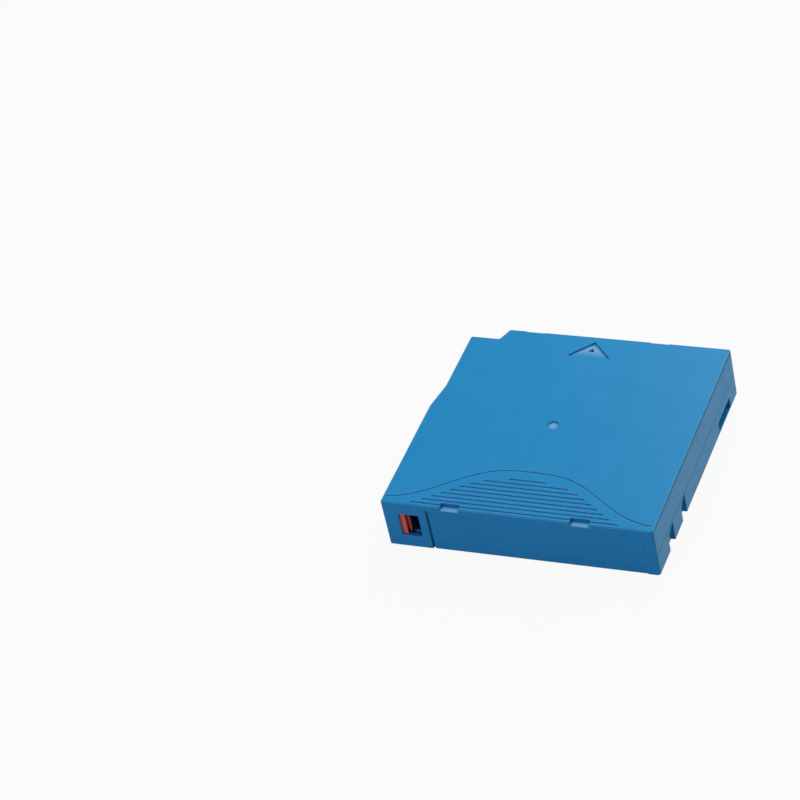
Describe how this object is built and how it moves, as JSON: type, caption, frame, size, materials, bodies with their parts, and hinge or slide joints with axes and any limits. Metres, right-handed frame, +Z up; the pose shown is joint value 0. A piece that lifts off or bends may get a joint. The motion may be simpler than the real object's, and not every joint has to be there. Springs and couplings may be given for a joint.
{
  "type": "data tape cartridge",
  "caption": "Flat square tape cartridge with one sealed reel, a sliding side door, a write-protect slider and a spindle opening below.",
  "frame": {"origin": "centre of the case's footprint on its underside, on the reel's axis", "axes": "+X to the right across the label wall, +Y towards the end that enters the drive, +Z up through the top cover"},
  "size_m": [0.1054, 0.102, 0.0215],
  "materials": {
    "blue_plastic": "fine satin texture",
    "red_plastic": "satin",
    "steel": "bright",
    "spring_steel": "drawn wire",
    "screw_steel": "dark zinc",
    "film": "smooth dark film",
    "white_plastic": "moulded",
    "grey_plastic": "moulded",
    "door_plastic": "satin",
    "clip_plastic": "moulded",
    "board": "lacquered board",
    "copper": "etched copper",
    "potting": "glossy resin"
  },
  "bodies": {
    "case": {"upper_shell": "blue_plastic", "lower_shell": "blue_plastic", "case_screws": "screw_steel", "leader_pin": "steel", "leader_pin_clamp": "clip_plastic", "pin_retaining_spring": "spring_steel", "leader_tape": "film", "memory_board": "board", "memory_antenna_coil": "copper", "memory_chip": "potting", "door_spring": "spring_steel", "brake_spring": "spring_steel"},
    "door": {"access_door": "door_plastic"},
    "reel": {"reel_hub": "white_plastic", "reel_upper_flange": "white_plastic", "clutch_plate": "steel", "tape_pack": "film"},
    "brake": {"brake_button": "grey_plastic"},
    "release": {"brake_release_pad": "grey_plastic"},
    "switch": {"write_protect_switch": "red_plastic"}
  },
  "joints": [
    {"name": "door_slide", "type": "slide", "parent": "case", "child": "door", "axis": [0, -1, 0], "range_m": [0, 0.015], "stiffness_N_per_m": 20, "springref_m": -0.015, "deforming": ["door_spring"]},
    {"name": "reel_spin", "type": "hinge", "parent": "case", "child": "reel", "pos_m": [0, 0, 0], "axis": [0, 0, 1], "continuous": true},
    {"name": "brake_lift", "type": "slide", "parent": "case", "child": "brake", "axis": [0, 0, 1], "range_m": [0, 0.002], "stiffness_N_per_m": 200, "springref_m": -0.004, "deforming": ["brake_spring"]},
    {"name": "release_lift", "type": "slide", "parent": "reel", "child": "release", "axis": [0, 0, 1], "range_m": [0, 0.002]},
    {"name": "write_protect_slide", "type": "slide", "parent": "case", "child": "switch", "axis": [1, 0, 0], "range_m": [0, 0.004]}
  ],
  "couplings": [
    {"joint": "release_lift", "follows": "brake_lift", "ratio": 1}
  ]
}
